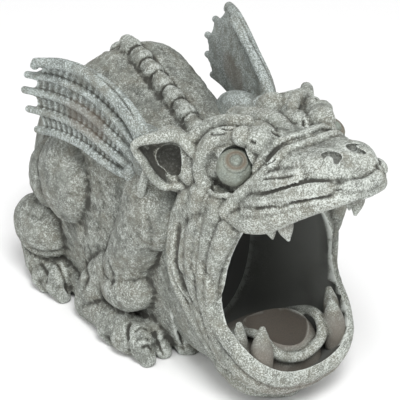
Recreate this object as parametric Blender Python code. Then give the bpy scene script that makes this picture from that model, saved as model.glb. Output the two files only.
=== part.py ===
"""Crouching winged gargoyle that spouts rainwater through its open mouth: one hollow casting.

The beast faces -Y and stands on z = 0, with x = 0 as its middle plane. Places and radii of the
carving are given in parts, which share out the figure's length from its nose to its cut back.
The walls and the socket for the pipe have real sizes of their own.
"""

import math

import bmesh
import bpy
import numpy as np
from mathutils import Euler, Matrix, Vector

# Real sizes, in metres.
FIGURE_LENGTH = 0.398
WALL = 0.010
FLOOR_WALL = 0.010
PIPE_WIDTH = 0.076
PIPE_HEIGHT = 0.102
PIPE_CLEARANCE = 0.003
SOCKET_SILL = 0.024
SOCKET_CORNER = 0.008
SOCKET_DEPTH = 0.022

# The figure from nose to back in parts, and the length of one part.
NOSE = -194
REAR = 204
PART = FIGURE_LENGTH / (REAR - NOSE)

# The grain of the pressed clay, its softening passes, and the triangles that stay of it.
GRAIN = 3.0 * PART
SOFTENING = 3
OUTSIDE_TRIANGLES = 7200
MOUTH_TRIANGLES = 700

SIDES = (-1, 1)

# The side of the blocks that cut the figure flat below and behind, in parts.
SLAB = 600

# The body's sections from neck to rump, in parts: y, half width, bottom, top.
TRUNK = ((-40, 42, 20, 176), (-15, 52, -8, 182), (15, 58, -10, 188), (45, 64, -10, 200),
         (75, 68, -10, 212), (100, 70, -10, 223), (122, 69, -10, 230), (140, 67, -10, 221),
         (160, 64, -10, 203), (178, 60, -10, 188), (192, 56, -10, 177), (210, 48, -10, 164))
TRUNK_SQUARENESS = 2.8

# The mouth's hollow from the lips to the throat, in parts: y, half width, bottom, top.
GULLET = ((-170, 50, 96, 180), (-146, 53, 58, 176), (-130, 54, 40, 174), (-112, 55, 26, 172),
          (-92, 56, 17, 172), (-70, 55, 13, 176), (-48, 52, 12, 178), (-25, 48, 12, 172),
          (-5, 46, 12, 168))
GULLET_SQUARENESS = 2.3

# The tongue's sections from its tip to its root, in parts: y, half width, bottom, top. Then the
# ellipsoid that is scooped out along it: its middle, its radii and its turns in degrees.
TONGUE = ((-119, 17, 20, 42), (-114, 25, 8, 54), (-100, 30, 6, 66), (-80, 33, 6, 66),
          (-58, 34, 6, 54), (-38, 30, 6, 40), (-20, 24, 6, 16))
TONGUE_SCOOP = ((0, -86, 74), (27, 42, 30), (-10, 0, 0))
TONGUE_SQUARENESS = 2.6

# The teeth, each from its root to its tip, in parts: x, y, z, radius.
TEETH = (((36, -136, 194, 7), (35, -138, 184, 6), (33, -139, 176, 2.5)),
         ((41, -122, 186, 6), (39, -125, 178, 4.5), (38, -126, 173, 2.5)),
         ((38, -116, 42, 9), (37, -114, 60, 9.5), (35, -112, 78, 5)),
         ((47, -100, 54, 8), (47, -98, 70, 7), (46, -96, 80, 4)))

# The mouth's edge from its corner round to the middle of the chin, in parts: x, y, z, radius.
JAW_RIM = ((55, -93, 170, 9), (59, -88, 153, 8), (61, -81, 129, 6.5), (61, -79, 105, 6),
           (59, -82, 84, 7), (53, -104, 64, 8), (43, -119, 50, 9), (26, -127, 40, 9),
           (0, -129, 35, 9))

# The wing's leading arm and its lower hem, in parts, and where its fingers lie between the two.
WING_ARM = ((61, 4, 196), (65, 18, 218), (69, 40, 234), (76, 64, 246), (86, 89, 250),
            (101, 113, 246))
WING_HEM = ((66, 22, 168), (68, 38, 163), (72, 56, 165), (78, 76, 172), (84, 100, 173),
            (90, 122, 170))
WING_SPREAD = 22
WING_FINGERS = (0, 0.24, 0.48, 0.71, 0.92)
WING_BAND = ((61, -1, 198, 6), (63, 12, 216, 5), (66, 33, 233, 4.6), (72, 59, 244, 4.2),
             (79, 82, 248, 3.4))

# The tops of the back's knuckles on the middle plane, y and z, then their spacing and radii.
SPINE_LINE = ((-5, 180), (16, 194), (48, 211), (70, 219), (92, 229), (120, 238), (136, 225),
              (152, 210), (168, 196))
KNUCKLE_GAP = 15.6
KNUCKLE = (9.6, 9.4, 8.6)

# The ear's rim, in parts: x, y, z, radius. Then its deepest place, and the bowl that is cut in it.
EAR_RIM = ((57, -51, 220, 5.5), (63, -40, 230, 5.5), (73, -27, 227.5, 5), (85, -10, 217, 3.4),
           (81, -17, 203, 3.6), (77, -23, 192, 4), (71, -30, 185, 3.8), (62, -40, 187, 3))
EAR_DEEP = (59, -24, 201)
EAR_BOWL = ((65, -31.5, 206.5), (11, 14, 13), -34)

EYE_CENTRE = (45, -87, 218)
EYE_RADIUS = 14.5


def at(x, y, z):
    """A place in the figure, from parts to metres."""
    return Vector((x, y, z)) * PART


def clear_scene():
    for item in list(bpy.data.objects):
        bpy.data.objects.remove(item)


def smooth_line(rows, steps):
    """Points along a smooth line through the rows, blending any extra values the same way."""
    rows = np.array(rows, float)
    padded = np.vstack([2 * rows[0] - rows[1], rows, 2 * rows[-1] - rows[-2]])
    line = []
    for i in range(1, len(padded) - 2):
        a, b, c, d = padded[i - 1:i + 3]
        for t in np.arange(steps) / steps:
            line.append(0.5 * (2 * b + (c - a) * t + (2 * a - 5 * b + 4 * c - d) * t ** 2
                               + (3 * b - a - 3 * c + d) * t ** 3))
    line.append(rows[-1])
    return np.array(line)


def mirrored(rows, side):
    return [(side * row[0], *row[1:]) for row in rows]


class Clay:
    """A heap of overlapping closed shapes, to be pressed into one form."""

    def __init__(self):
        self.heap = bmesh.new()

    def add(self, shape):
        """Puts one closed shape on the heap."""
        bmesh.ops.recalc_face_normals(shape, faces=shape.faces[:])
        data = bpy.data.meshes.new("shape")
        shape.to_mesh(data)
        shape.free()
        self.heap.from_mesh(data)
        bpy.data.meshes.remove(data)

    def ball(self, centre, radii, turn=(0, 0, 0), fineness=3):
        """An ellipsoid, turned by degrees about X, Y and Z."""
        spin = Euler([math.radians(v) for v in turn]).to_matrix().to_4x4()
        size = Matrix.Diagonal((*(r * PART for r in radii), 1))
        matrix = Matrix.Translation(at(*centre)) @ spin @ size
        shape = bmesh.new()
        bmesh.ops.create_icosphere(shape, subdivisions=fineness, radius=1, matrix=matrix)
        self.add(shape)

    def roll(self, rows, steps=4, sides=12):
        """A round roll of clay through rows of x, y, z and radius, with round ends."""
        line = smooth_line(rows, steps)
        shape = bmesh.new()
        up = Vector((0.13, 0.21, 0.97))
        before = None
        for i, row in enumerate(line):
            ahead = line[min(i + 1, len(line) - 1)][:3] - line[max(i - 1, 0)][:3]
            along = Vector(ahead).normalized()
            across = along.cross(up).normalized()
            turn = Matrix((across, across.cross(along), -along)).transposed().to_4x4()
            ring = bmesh.ops.create_circle(shape, segments=sides, radius=row[3] * PART,
                                           cap_ends=i in (0, len(line) - 1),
                                           matrix=Matrix.Translation(at(*row[:3])) @ turn)
            before = bridge(shape, before, ring["verts"])
        self.add(shape)
        for row in (line[0], line[-1]):
            self.ball(row[:3], [row[3]] * 3, fineness=2)

    def loft(self, stations, squareness, sides=40, steps=3):
        """A body of upright rounded sections: rows of y, half width, bottom and top."""
        shape = bmesh.new()
        before = None
        line = smooth_line(stations, steps)
        for i, (y, half_width, bottom, top) in enumerate(line):
            ring = bmesh.ops.create_circle(shape, segments=sides, radius=1,
                                           cap_ends=i in (0, len(line) - 1))["verts"]
            for corner in ring:
                c, s = corner.co.x, corner.co.y
                reach = (abs(c) ** squareness + abs(s) ** squareness) ** (-1 / squareness)
                corner.co = at(half_width * c * reach, y,
                               (bottom + top) / 2 + (top - bottom) / 2 * s * reach)
            before = bridge(shape, before, ring)
        self.add(shape)

    def web(self, rows, thickness):
        """A curved plate through a grid of places, given as equal rows."""
        shape = bmesh.new()
        grid = [[shape.verts.new(at(*place)) for place in row] for row in rows]
        for row, after in zip(grid, grid[1:]):
            for j in range(len(row) - 1):
                shape.faces.new((row[j], row[j + 1], after[j + 1], after[j]))
        whole = shape.verts[:] + shape.edges[:] + shape.faces[:]
        shape.normal_update()
        bmesh.ops.solidify(shape, geom=whole, thickness=thickness * PART)
        self.add(shape)


def bridge(shape, before, ring):
    """Joins one ring's edges to those of the ring before it."""
    edges = list({edge for corner in ring for edge in corner.link_edges})
    if before:
        bmesh.ops.bridge_loops(shape, edges=before + edges)
    return edges


def object_from(name, shape):
    data = bpy.data.meshes.new(name)
    shape.to_mesh(data)
    shape.free()
    made = bpy.data.objects.new(name, data)
    bpy.context.scene.collection.objects.link(made)
    return made


def trunk(clay):
    clay.loft(TRUNK, TRUNK_SQUARENESS)


def spine(clay):
    """A row of blunt knuckles down the middle of the back."""
    y = SPINE_LINE[0][0] + 0.2
    while y < SPINE_LINE[-1][0]:
        z = np.interp(y, *zip(*SPINE_LINE)) - KNUCKLE[2]
        clay.roll([(0, y - 3.5, z - 1.6, 7.2), (0, y + 3.5, z + 1.6, 7.2)], steps=1)
        clay.ball((0, y, z), KNUCKLE, (-25, 0, 0))
        y += KNUCKLE_GAP


def head(clay):
    clay.loft([(-88, 55, 60, 196), (-76, 62, 24, 216), (-58, 65, 6, 220), (-38, 63, 1, 216),
               (-14, 57, -3, 202), (12, 54.5, -6, 186)], 2.3)
    clay.ball((0, -66, 206), (48, 44, 32), (-14, 0, 0))
    clay.ball((0, -98, 224), (32, 22, 19))
    muzzle(clay)
    lower_jaw(clay)
    for side in SIDES:
        cheek(clay, side)
        brow(clay, side)
        ear(clay, side)


def cheek(clay, side):
    for fold in ([(50, -44, 178, 14), (54, -34, 144, 14), (54, -32, 112, 14), (52, -38, 90, 14),
                  (47, -54, 66, 14), (38, -70, 36, 14)],
                 [(52, -60, 186, 13), (54, -58, 160, 13.5), (55, -56, 130, 13.5),
                  (54, -60, 100, 13.5), (50, -70, 72, 14), (43, -84, 46, 14)],
                 [(50, -78, 184, 12.5), (53, -76, 160, 13.5), (55, -72, 128, 13),
                  (54, -73, 98, 13.5), (50, -86, 64, 14)]):
        clay.roll(mirrored(fold, side))


def brow(clay, side):
    """The lumps over the eye, the thick arch behind it and the fold down its inner side."""
    clay.ball((side * 31, -97, 241), (10.5, 12, 11))
    clay.ball((side * 38, -88, 243), (9, 9, 8))
    clay.ball((side * 29, -107, 236), (7, 7, 7))
    clay.ball((side * 38, -97, 229), (7, 7, 7))
    clay.ball((side * 17, -84, 237.5), (9, 15, 9))
    clay.roll(mirrored([(58, -44, 226, 5), (48, -52, 238, 6), (35, -60, 243, 6),
                        (22, -72, 244, 5)], side))
    clay.ball((side * 35, -68, 227), (17, 20, 15))
    clay.ball((side * 46, -56, 214), (10, 16, 20))
    clay.roll(mirrored([(33, -88, 240, 6.5), (41, -78, 240, 6.5), (49, -68, 235, 6.5),
                        (54, -59, 219, 6.5), (55, -58, 204, 6.2), (54, -66, 190, 5.8)], side))
    clay.roll(mirrored([(30, -117, 230, 5), (38, -115, 221, 6), (48, -101, 201, 6.5),
                        (54, -90, 184, 7)], side))
    clay.ball((side * EYE_CENTRE[0], *EYE_CENTRE[1:]), [EYE_RADIUS] * 3)


def muzzle(clay):
    """The snout: a broad nose over three long folds, with straps of skin across its bridge."""
    clay.loft([(-70, 46, 172, 228), (-95, 42, 172, 236), (-120, 38, 178, 242),
               (-138, 35, 189, 246), (-152, 32, 200, 249), (-165, 29, 210, 249),
               (-177, 23, 217, 243), (-185, 15, 223, 234)], 3.2)
    clay.roll([(0, -30, 222, 11), (0, -55, 232, 10), (0, -80, 239, 8.5), (0, -99, 239, 5)])
    clay.roll([(22, -176, 233, 4), (12, -185, 234, 5), (0, -188, 234, 5), (-12, -185, 234, 5),
               (-22, -176, 233, 4)])
    for side in SIDES:
        clay.roll(mirrored([(49, -94, 181, 10), (47, -111, 183, 10.5), (43, -127, 190, 10),
                            (36, -148, 205, 8.5), (27, -167, 218, 8), (15, -181, 227, 8),
                            (0, -186, 229, 8.6)], side))
        clay.roll(mirrored([(44, -106, 196, 9.5), (41, -122, 204, 9.5), (37, -140, 214, 9),
                            (31, -161, 226, 8), (25, -173, 232, 6.5)], side))
        clay.roll(mirrored([(40, -112, 212, 8.5), (36, -130, 222, 8.5), (30, -148, 232, 7.5)],
                           side))
        clay.roll(mirrored([(38, -106, 222, 4.5), (30, -107, 234, 5), (18, -111, 240.5, 5.5),
                            (0, -115, 242, 6)], side))
        clay.roll(mirrored([(34, -120, 231, 4.5), (24, -122, 238.5, 5), (10, -126, 241.5, 5.5),
                            (0, -128, 242, 5.5)], side))
        clay.ball((side * 17, -155, 238), (13, 17, 10.5))


def lower_jaw(clay):
    for side in SIDES:
        clay.roll(mirrored(JAW_RIM, side))
        clay.roll(mirrored([(50, -84, 62, 14), (42, -105, 46, 15), (27, -117, 35, 14.5),
                            (0, -119, 31, 14.5)], side))
        clay.roll(mirrored([(38, -76, 34, 15), (27, -89, 20, 16), (0, -97, 14, 18)], side))
    clay.ball((0, -78, 16), (36, 34, 22))


def ear(clay, side):
    """A pointed cup of skin, thick at its back, with a second fold hanging below it."""
    clay.roll(mirrored(EAR_RIM, side))
    rim = smooth_line(EAR_RIM, 3)[:, :3] * (side, 1, 1)
    deep = np.array(EAR_DEEP) * (side, 1, 1)
    sunk = np.array((-3 * side, 2, -1))
    clay.web([rim, rim * 0.5 + deep * 0.5 + sunk, rim * 0.15 + deep * 0.85], 5)
    clay.ball((side * 51, -14, 202), (15, 22, 22))
    clay.ball((side * 60, -27, 187), (9, 14, 10))
    clay.ball((side * 58, -23, 207), (11, 20, 17), (0, 0, side * EAR_BOWL[2]))
    clay.ball((side * 53, -42, 204), (12, 15, 20))
    clay.roll(mirrored([(54, -8, 208, 11), (66, -7, 210, 8), (78, -8, 213, 5), (84, -9, 216, 3)],
                       side))
    clay.roll(mirrored([(80, -18, 196, 3), (80, -13, 182, 3.5), (76, -4, 168, 3.5)], side))


def wing(clay, side):
    """A webbed wing: fingers that fan back from the shoulder, and a skin between them."""
    for share in WING_FINGERS:
        line = wing_line(side, share)
        root, tip = (4.4, 3.6) if share else (8, 4)
        clay.roll(np.column_stack([line, np.linspace(root, tip, len(line))]), steps=1)
    clay.web([wing_line(side, share)[:-1] for share in np.linspace(0, WING_FINGERS[-1], 9)], 6)
    clay.roll(mirrored(WING_BAND, side))
    clay.ball((side * 66, 20, 173), (9, 9, 12))
    clay.ball((side * 56, 8, 188), (16, 16, 24))
    clay.ball((side * 50, 26, 186), (18, 34, 22))


def wing_line(side, share):
    """A line along the wing, this share of the way from its leading arm to its hem."""
    arm, hem = smooth_line(WING_ARM, 4), smooth_line(WING_HEM, 4)
    line = arm + (hem - arm) * share
    along = np.linspace(0, 1, len(line))
    line[:, 1] += WING_SPREAD * math.sin(math.pi * share) * along ** 2
    return line * np.array((side, 1, 1))


def front_leg(clay, side):
    """Shoulder and upper arm, then the elbow and forearm that lie along the ground to the paw."""
    clay.ball((side * 54, 6, 146), (26, 32, 42), (8, 0, 0))
    clay.roll([(side * 56, 10, 140, 25), (side * 57, 24, 108, 25), (side * 57, 42, 74, 23)])
    clay.ball((side * 60, 40, 54), (21, 34, 22), (-20, 0, 0))
    clay.roll([(side * 60, 60, 62, 18), (side * 63, 78, 40, 19), (side * 62, 90, 14, 19)])
    clay.roll([(side * 64, 86, 14, 17), (side * 67, 60, 17, 16), (side * 67, 36, 18, 16)])
    toes(clay, side, (64, 26), ((78, 40, 8.5), (70, -3, 11), (52, -1, 10.5), (35, -7, 9.5)))


def toes(clay, side, root, tips):
    """A paw with hooked toes: each tip is x, y and thickness."""
    clay.ball((side * root[0], root[1], 14), (22, 22, 17))
    for x, y, thick in tips:
        near = (0.35 * root[0] + 0.65 * x, 0.55 * root[1] + 0.45 * y)
        clay.roll([(side * root[0], root[1], 16, thick), (side * near[0], near[1], 20, thick + 1),
                   (side * x, y + thick, 13, thick), (side * x, y + 2, 6, thick * 0.7)])


def hind_leg(clay, side):
    """The drawn-up thigh, the heel under it and the paw."""
    clay.ball((side * 62, 122, 124), (25, 37, 44), (6, 0, 0))
    clay.ball((side * 57, 156, 112), (24, 25, 36), (6, 0, 0))
    clay.ball((side * 63, 169, 55), (25, 36, 30), (-8, 0, 0))
    clay.roll([(side * 62, 178, 32, 19), (side * 66, 162, 16, 18), (side * 66, 140, 14, 14)])
    toes(clay, side, (62, 146), ((78, 146, 9), (74, 124, 10.5), (57, 118, 9.5)))


def outside():
    """The whole beast as one solid lump of few faces."""
    clay = Clay()
    trunk(clay)
    spine(clay)
    head(clay)
    for side in SIDES:
        wing(clay, side)
        front_leg(clay, side)
        hind_leg(clay, side)
    beast = pressed("gargoyle", clay, SOFTENING)
    place, radii, turn = EAR_BOWL
    bowls = [((side * place[0], *place[1:]), radii, (0, 0, side * turn)) for side in SIDES]
    return thinned(scooped(beast, bowls), OUTSIDE_TRIANGLES)


def pressed(name, clay, softening):
    """One object of all the clay, with its shapes merged and their joins softened."""
    form = object_from(name, clay.heap)
    press = form.modifiers.new("press", "REMESH")
    press.mode = "VOXEL"
    press.voxel_size = GRAIN
    soften = form.modifiers.new("soften", "SMOOTH")
    soften.factor = 0.5
    soften.iterations = softening
    return settled(form)


def settled(item):
    """The same object with its modifiers made part of its mesh."""
    graph = bpy.context.evaluated_depsgraph_get()
    data = bpy.data.meshes.new_from_object(item.evaluated_get(graph))
    item.modifiers.clear()
    item.data = data
    return item


def scooped(item, balls):
    """The object with each ellipsoid taken out of it."""
    clay = Clay()
    for ball in balls:
        clay.ball(*ball)
    tool = cutter(object_from("scoop", clay.heap))
    combine(item, tool, "DIFFERENCE")
    settled(item)
    bpy.data.objects.remove(tool)
    return item


def thinned(item, triangles):
    """The object with about this many triangles."""
    item.data.calc_loop_triangles()
    thin = item.modifiers.new("thin", "DECIMATE")
    thin.ratio = triangles / len(item.data.loop_triangles)
    thin.use_collapse_triangulate = True
    return settled(item)


def mouth_features():
    """Tongue and teeth, which stand in the hollow mouth and grow from its walls."""
    clay = Clay()
    clay.loft(TONGUE, TONGUE_SQUARENESS)
    for side in SIDES:
        for tooth in TEETH:
            clay.roll([(side * x, y, z, r) for x, y, z, r in tooth])
    features = scooped(pressed("mouth_features", clay, 1), [TONGUE_SCOOP])
    return cutter(thinned(features, MOUTH_TRIANGLES))


def cutter(tool):
    """Marks a shape that is used to cut or to build up the figure."""
    tool.hide_render = True
    tool.display_type = "WIRE"
    return tool


def hollow():
    """The way for the water, from the back wall through the body to the lips."""
    wall, floor = WALL / PART, FLOOR_WALL / PART
    back = REAR - SOCKET_DEPTH / PART
    body = [(y, half_width - wall, floor, top - wall) for y, half_width, bottom, top in TRUNK
            if 5 < y < back - 8]
    last = body[-1]
    body.append((back, last[1] - 6, floor, last[3] - 14))
    clay = Clay()
    clay.loft(list(GULLET) + body, GULLET_SQUARENESS, steps=1)
    return cutter(object_from("hollow", clay.heap))


def socket():
    """The upright hole in the back wall that takes the end of a rectangular pipe."""
    width = PIPE_WIDTH + 2 * PIPE_CLEARANCE
    height = PIPE_HEIGHT + 2 * PIPE_CLEARANCE
    depth = 2 * SOCKET_DEPTH + WALL
    shape = bmesh.new()
    size = Matrix.Diagonal((width, depth, height, 1))
    place = Matrix.Translation((0, REAR * PART, SOCKET_SILL + height / 2))
    bmesh.ops.create_cube(shape, size=1, matrix=place @ size)
    long_edges = [e for e in shape.edges if abs(e.verts[0].co.y - e.verts[1].co.y) > depth / 2]
    bmesh.ops.bevel(shape, geom=long_edges, offset=SOCKET_CORNER, affect="EDGES", segments=4,
                    profile=0.5, material=-1)
    return cutter(object_from("socket", shape))


def slab(name, centre):
    """A plain block wider than the figure, with its middle here, in parts."""
    shape = bmesh.new()
    bmesh.ops.create_cube(shape, size=SLAB * PART, matrix=Matrix.Translation(at(*centre)))
    return cutter(object_from(name, shape))


def combine(item, other, operation):
    step = item.modifiers.new(other.name, "BOOLEAN")
    step.solver = "EXACT"
    step.operation = operation
    step.object = other


def stone():
    material = bpy.data.materials.new("weathered_stone")
    material.use_nodes = True
    shader = material.node_tree.nodes["Principled BSDF"]
    shader.inputs["Base Color"].default_value = (0.25, 0.26, 0.25, 1)
    shader.inputs["Roughness"].default_value = 0.85
    shader.inputs["Metallic"].default_value = 0
    return material


def build():
    clear_scene()
    gargoyle = outside()
    steps = ((hollow(), "DIFFERENCE"), (socket(), "DIFFERENCE"), (mouth_features(), "UNION"),
             (slab("ground", (0, 0, -SLAB / 2)), "DIFFERENCE"),
             (slab("rear", (0, REAR + SLAB / 2, 0)), "DIFFERENCE"))
    for tool, operation in steps:
        combine(gargoyle, tool, operation)
    settled(gargoyle)
    for tool, operation in steps:
        bpy.data.objects.remove(tool)
    gargoyle.data.materials.clear()
    gargoyle.data.materials.append(stone())
    gargoyle.data.shade_smooth()
    gargoyle.data.set_sharp_from_angle(angle=math.radians(50))
    return gargoyle


if __name__ == "__main__":
    build()
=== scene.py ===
"""Weathered stone gargoyle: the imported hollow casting, dressed with its carving and its finish.

The file is laid out as a Blender add-on and is run as a script. The beast faces -Y and stands
on z = 0. Places and radii are in millimetres on its left side, and are mirrored to its right.
"""
import math

import bmesh
import bpy
import numpy as np
from mathutils import Euler, Matrix, Vector
from mathutils.bvhtree import BVHTree

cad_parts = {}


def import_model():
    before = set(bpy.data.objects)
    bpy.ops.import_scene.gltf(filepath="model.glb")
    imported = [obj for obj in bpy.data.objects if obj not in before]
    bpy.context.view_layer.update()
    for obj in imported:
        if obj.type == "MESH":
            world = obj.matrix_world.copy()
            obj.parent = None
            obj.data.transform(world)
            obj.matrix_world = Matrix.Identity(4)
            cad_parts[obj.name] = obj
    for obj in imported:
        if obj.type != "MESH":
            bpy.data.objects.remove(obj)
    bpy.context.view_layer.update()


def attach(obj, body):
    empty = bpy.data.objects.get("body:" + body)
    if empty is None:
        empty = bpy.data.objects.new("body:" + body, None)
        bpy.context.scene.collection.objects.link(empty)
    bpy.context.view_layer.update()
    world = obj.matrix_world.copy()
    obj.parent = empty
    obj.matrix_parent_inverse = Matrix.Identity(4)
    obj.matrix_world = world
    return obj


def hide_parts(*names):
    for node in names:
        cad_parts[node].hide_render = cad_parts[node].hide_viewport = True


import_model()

bl_info = {
    "name": "Weathered stone gargoyle",
    "version": (1, 0, 0),
    "blender": (4, 5, 0),
    "location": "3D View > Sidebar > Gargoyle",
    "description": "Carving and stone finish for a hollow gargoyle with an open mouth",
    "category": "Object",
}

MM = 0.001
SIDES = (-1, 1)
NODE = "gargoyle"

# Where the figure is cut flat behind, and the sizes of the walls and the socket, in mm.
REAR = 204
WALL = 10
FLOOR_WALL = 10
SOCKET = (82, 108, 22)
SOCKET_SILL = 24
SOCKET_CORNER = 8
# The cutting slabs, and how far the ground and the flat back stay inside the solid.
SLAB = 600
CLEARANCE = 0.3
BACK_RIM = 2

# The head's and the snout's sections: y, half width, bottom, top.
SKULL = ((-88, 55, 60, 196), (-76, 62, 24, 216), (-58, 65, 6, 220), (-38, 63, 1, 216),
         (-14, 57, -3, 202), (12, 54.5, -6, 186))
SKULL_SQUARENESS = 2.3
SNOUT = ((-70, 46, 172, 228), (-95, 42, 172, 236), (-120, 38, 178, 242), (-138, 35, 189, 246),
         (-152, 32, 200, 249), (-165, 29, 210, 249), (-177, 23, 217, 243), (-185, 15, 223, 234))
SNOUT_SQUARENESS = 3.2

# The body's sections from neck to rump: y, half width, bottom, top.
TRUNK = ((-12, 54, -8, 182), (15, 58, -10, 188), (45, 64, -10, 200),
         (75, 68, -10, 212), (100, 70, -10, 223), (122, 69, -10, 230), (140, 67, -10, 221),
         (160, 64, -10, 203), (178, 60, -10, 188), (192, 56, -10, 177), (210, 48, -10, 164))
TRUNK_SQUARENESS = 2.8

# The mouth's hollow from the lips to the throat: y, half width, bottom, top.
GULLET = ((-170, 50, 96, 180), (-146, 53, 58, 176), (-130, 54, 40, 174), (-112, 55, 26, 172),
          (-92, 56, 17, 172), (-70, 55, 13, 176), (-48, 52, 12, 178), (-25, 48, 12, 172),
          (-5, 46, 12, 168))
GULLET_SQUARENESS = 2.3

TONGUE = ((-119, 17, 20, 42), (-114, 25, 8, 54), (-100, 30, 6, 66), (-80, 33, 6, 66),
          (-58, 34, 6, 54), (-38, 30, 6, 40), (-20, 24, 6, 16))
TONGUE_SCOOP = ((0, -86, 74), (27, 42, 30), (-10, 0, 0))
TONGUE_SQUARENESS = 2.6
# The stained trough between the tongue and the lower lip.
TROUGH = ((44, -104, 50), (34, -118, 36), (18, -124, 32), (0, -126, 30))
TROUGH_STAIN, TROUGH_REACH = 0.8, 14
TONGUE_EDGE = ((31, -56, 44, 3), (30.5, -76, 56, 3.6), (29.5, -92, 64, 4),
               (28.5, -104, 65, 4.4), (26.5, -112, 59, 4.6), (21, -117, 53, 4.6),
               (11, -119, 48, 4.4), (0, -120, 46, 4.4))

# The teeth, each from its root to its tip: x, y, z, radius.
TEETH = (((36, -136, 194, 7.5), (35, -138, 184, 6), (33, -139, 175, 1.8)),
         ((41, -122, 186, 6), (39, -125, 178, 4.5), (38, -126, 172, 1.5)),
         ((38, -116, 42, 9), (37, -114, 60, 9.5), (36, -113, 72, 6.5), (35, -112, 80, 3)),
         ((47, -100, 54, 7), (47, -98, 68, 6.5), (46, -96, 80, 3)))

JAW_RIM = ((55, -93, 170, 9), (59, -88, 153, 8), (61, -81, 129, 6.5), (61, -79, 105, 6),
           (59, -82, 84, 7), (53, -104, 64, 8), (43, -119, 50, 9), (26, -127, 40, 9),
           (0, -129, 35, 9))

WING_ARM = ((61, 4, 196), (65, 18, 218), (69, 40, 234), (76, 64, 245.6), (86, 89, 249.2),
            (97.5, 113, 245))
WING_HEM = ((66, 22, 168), (68, 38, 163), (72, 56, 165), (78, 76, 172), (84, 100, 173),
            (90, 122, 170))
WING_SPREAD = 22
WING_FINGERS = (0, 0.24, 0.48, 0.71, 0.92)
WING_BAND = ((61, -1, 198, 6), (63, 12, 216, 5), (66, 33, 233, 4.6), (72, 59, 244, 4.2),
             (79, 82, 248, 3.4))
# How far the skin reaches along the fingers, and how much less it does between them.
SKIN_REACH = 0.965
SCALLOP = 0.045

# The back's knuckles: the line of their tops on the middle plane, y and z.
SPINE_LINE = ((-5, 180), (16, 194), (48, 211), (70, 219), (92, 229), (120, 238), (136, 225),
              (152, 210), (168, 196))
KNUCKLE_GAP = 15.6
KNUCKLE = (9.6, 9.4, 8.6)
FIRST_KNUCKLE = SPINE_LINE[0][0] + 0.2

EAR_RIM = ((57, -51, 220, 5.5), (63, -40, 230, 5.5), (73, -27, 227.5, 5), (85, -10, 217, 3.4),
           (81, -17, 203, 3.6), (77, -23, 192, 4), (71, -30, 185, 3.8), (62, -40, 187, 3))
EAR_DEEP = (59, -24, 201)

EYE_CENTRE = (45, -87, 218)
EYE_RADIUS = 14.5
EYE_GAZE = (0.313, -0.526, 0.791)
# The eye's rings: distance from the middle of the sight, width and height.
EYE_RINGS = ((0, 3.4, 1.0), (4.9, 0.7, -0.7), (8.3, 1.0, 0.8), (10.3, 0.8, -0.5))

EAR_BOWL = ((65, -31.5, 206.5), (11, 14, 13), -34)
# The middle line of each ear bowl, and how far from it the painted shade in the bowl reaches.
EAR_MIDDLE = ((62, -28, 202), (66, -26, 204), (70, -24, 206))
EAR_REACH = 18
NOSTRIL = ((16.5, -158, 246, 2.6), (12.5, -155, 247, 3.6), (9, -158.5, 247.5, 4.6),
           (9, -163, 247, 4.6), (12.5, -167, 245.5, 3.2))

# Carved lines: depth, width, then places that are laid on the surface. A depth below zero
# raises the line.
HEAD_LINES = (
    (-1.0, 2.4, ((46, -119, 214), (43, -131, 219), (39, -144, 225.5), (33, -157, 232))),
    (-1.0, 2.6, ((51, -113, 201), (47.5, -127, 207), (42, -143, 215.5), (36.5, -158, 223),
                 (30, -171, 229))),
    (1.8, 1.6, ((43.6, -119, 220.8), (41.3, -128.1, 224.9), (38.9, -138.1, 229.4),
                (34.8, -149.5, 235.6))),
    (1.4, 1.7, ((48.4, -113.2, 206.9), (45.7, -126.8, 212.9), (40.9, -140.9, 222.8),
                (36, -151.3, 228.4), (30, -161, 232), (26, -169, 235), (20, -176, 236))),
    (0.9, 1.6, ((51.2, -118.4, 197.1), (47.1, -128.9, 202.4), (43.1, -144.3, 209.7),
                (39.6, -156.2, 217.4), (35, -166.7, 223.2), (29, -174, 227), (21, -180, 230))),
    (1.6, 3.5, ((18, -176, 240), (18.5, -179, 236), (20, -181, 231))),
    (1.8, 2.0, ((35.7, -113.4, 230.3), (26.5, -113.6, 238.6), (17.4, -116.4, 244.6),
                (0, -119, 246))),
    (2.2, 1.2, ((36.5, -112, 228.7), (37.4, -120.4, 235.6), (34, -121.9, 238.5))),
    (2.4, 1.5, ((15.7, -93.4, 244.7), (13.2, -97.7, 241.5), (13, -104, 243))),
    (2.6, 2.2, ((40.7, -98.6, 244.3), (40.2, -101.7, 243.7), (38.6, -104.6, 243.6))),
    (1.6, 1.5, ((55.3, -63.7, 242.6), (52.5, -71.5, 242.4), (46.9, -79.2, 244.8))),
    (1.6, 1.5, ((47.3, -69.5, 249.4), (44.3, -76.9, 250.3), (38.1, -81.3, 250.7))),
    (2.2, 4.2, ((63.6, -76.6, 180.4), (65.9, -61.2, 170.5), (62.4, -45.5, 153),
                (63.6, -38.9, 134.7), (63.7, -37.5, 120.1), (63.4, -41, 103),
                (62.6, -49.6, 93.8), (63, -62, 88), (60, -72, 80))),
    (1.0, 2.0, ((68, -32.5, 115.5), (67.3, -34.1, 102.9), (65.9, -39, 94.4),
                (63.9, -45.8, 87.6), (60, -56.3, 78))),
    (1.8, 4.0, ((67.7, -73.1, 138.8), (66.6, -76.9, 129.4), (65.3, -84.4, 123.4),
                (60.7, -84.8, 112.8))),
    (0.8, 2.8, ((66.6, -39.2, 152.4), (68.1, -32.8, 136.1), (67.8, -29.5, 119.6))),
    (1.4, 1.2, ((51.2, -63.5, 192.5), (57.1, -78, 197.8), (56.1, -84.4, 199.5),
                (51.9, -89, 201.5))),
)

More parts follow.
